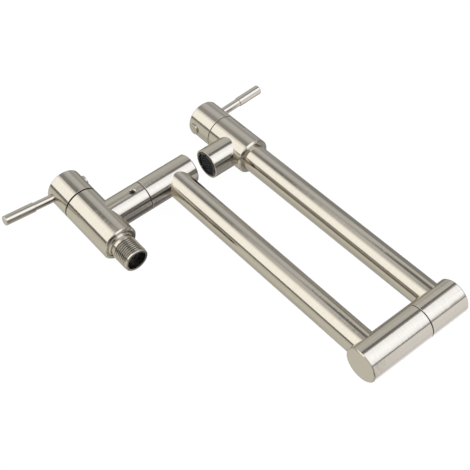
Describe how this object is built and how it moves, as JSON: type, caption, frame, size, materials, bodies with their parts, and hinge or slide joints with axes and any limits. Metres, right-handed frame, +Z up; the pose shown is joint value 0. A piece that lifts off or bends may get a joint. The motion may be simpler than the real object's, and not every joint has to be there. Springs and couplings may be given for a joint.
{
  "type": "wall mounted pot filler",
  "caption": "Wall mounted folding tap for filling pots: a valve at the wall, two swinging tubes joined by an elbow, and a second valve with a short spout.",
  "frame": {"origin": "centre of the wall valve's rear face, on the axis of its inlet thread", "axes": "+Y along the inlet thread into the wall, +Z up along the shoulder swivel, +X to the right for someone facing the wall"},
  "size_m": [0.0528, 0.2883, 0.2481],
  "materials": {
    "brushed_metal": "brushed nickel, fine brushing round each tube",
    "brass": "plain turned brass",
    "screw_steel": "plain stainless steel",
    "rubber": "matt black",
    "black_plastic": "satin black",
    "ceramic": "lapped white ceramic"
  },
  "bodies": {
    "wall_valve": {"wall_valve_body": "brushed_metal", "inlet_nipple": "brushed_metal", "inlet_seal": "rubber", "inlet_strainer": "black_plastic", "wall_cartridge_seal": "rubber", "wall_cartridge_housing": "brass", "wall_cartridge_lower_disc": "ceramic", "wall_gland_nut": "brass", "wall_bearing_ring": "black_plastic", "shoulder_spigot": "brass", "shoulder_socket_seal": "rubber", "shoulder_neck_seal": "rubber", "shoulder_clip": "screw_steel", "shoulder_washer": "black_plastic", "shoulder_set_screw": "screw_steel"},
    "wall_handle": {"wall_cartridge_upper_disc": "ceramic", "wall_stem": "brass", "wall_stem_seal": "rubber", "wall_handle_cap": "brushed_metal", "wall_lever": "brushed_metal", "wall_handle_set_screw": "screw_steel", "wall_handle_plug": "brushed_metal"},
    "arm_1": {"shoulder_barrel": "brushed_metal", "shoulder_end_cap": "brushed_metal", "arm_1_tube": "brushed_metal", "elbow_lower_barrel": "brushed_metal", "elbow_spigot": "brass", "elbow_socket_seal": "rubber", "elbow_neck_seal": "rubber", "elbow_clip": "screw_steel", "elbow_washer": "black_plastic", "elbow_set_screw": "screw_steel"},
    "arm_2": {"elbow_upper_barrel": "brushed_metal", "elbow_end_cap": "brushed_metal", "arm_2_tube": "brushed_metal", "spout_valve_body": "brushed_metal", "spout_cartridge_seal": "rubber", "spout_cartridge_housing": "brass", "spout_cartridge_lower_disc": "ceramic", "spout_gland_nut": "brass", "spout_bearing_ring": "black_plastic", "spout_tube": "brushed_metal", "aerator_housing": "black_plastic", "aerator_seal": "rubber", "aerator_grille": "black_plastic"},
    "spout_handle": {"spout_cartridge_upper_disc": "ceramic", "spout_stem": "brass", "spout_stem_seal": "rubber", "spout_handle_cap": "brushed_metal", "spout_lever": "brushed_metal", "spout_handle_set_screw": "screw_steel", "spout_handle_plug": "brushed_metal"}
  },
  "joints": [
    {"name": "wall_handle_turn", "type": "hinge", "parent": "wall_valve", "child": "wall_handle", "pos_m": [0, -0.0272, 0], "axis": [0, -1, 0], "range_deg": [0, 90]},
    {"name": "shoulder_swivel", "type": "hinge", "parent": "wall_valve", "child": "arm_1", "pos_m": [0, -0.0272, 0], "axis": [0, 0, 1], "continuous": true},
    {"name": "elbow_swivel", "type": "hinge", "parent": "arm_1", "child": "arm_2", "pos_m": [0.01718, 0.19865, 0], "axis": [0, 0, 1], "continuous": true},
    {"name": "spout_handle_turn", "type": "hinge", "parent": "arm_2", "child": "spout_handle", "pos_m": [-0.00276, -0.02346, 0.135], "axis": [-0.0894, -0.996, 0], "range_deg": [0, 90]}
  ]
}
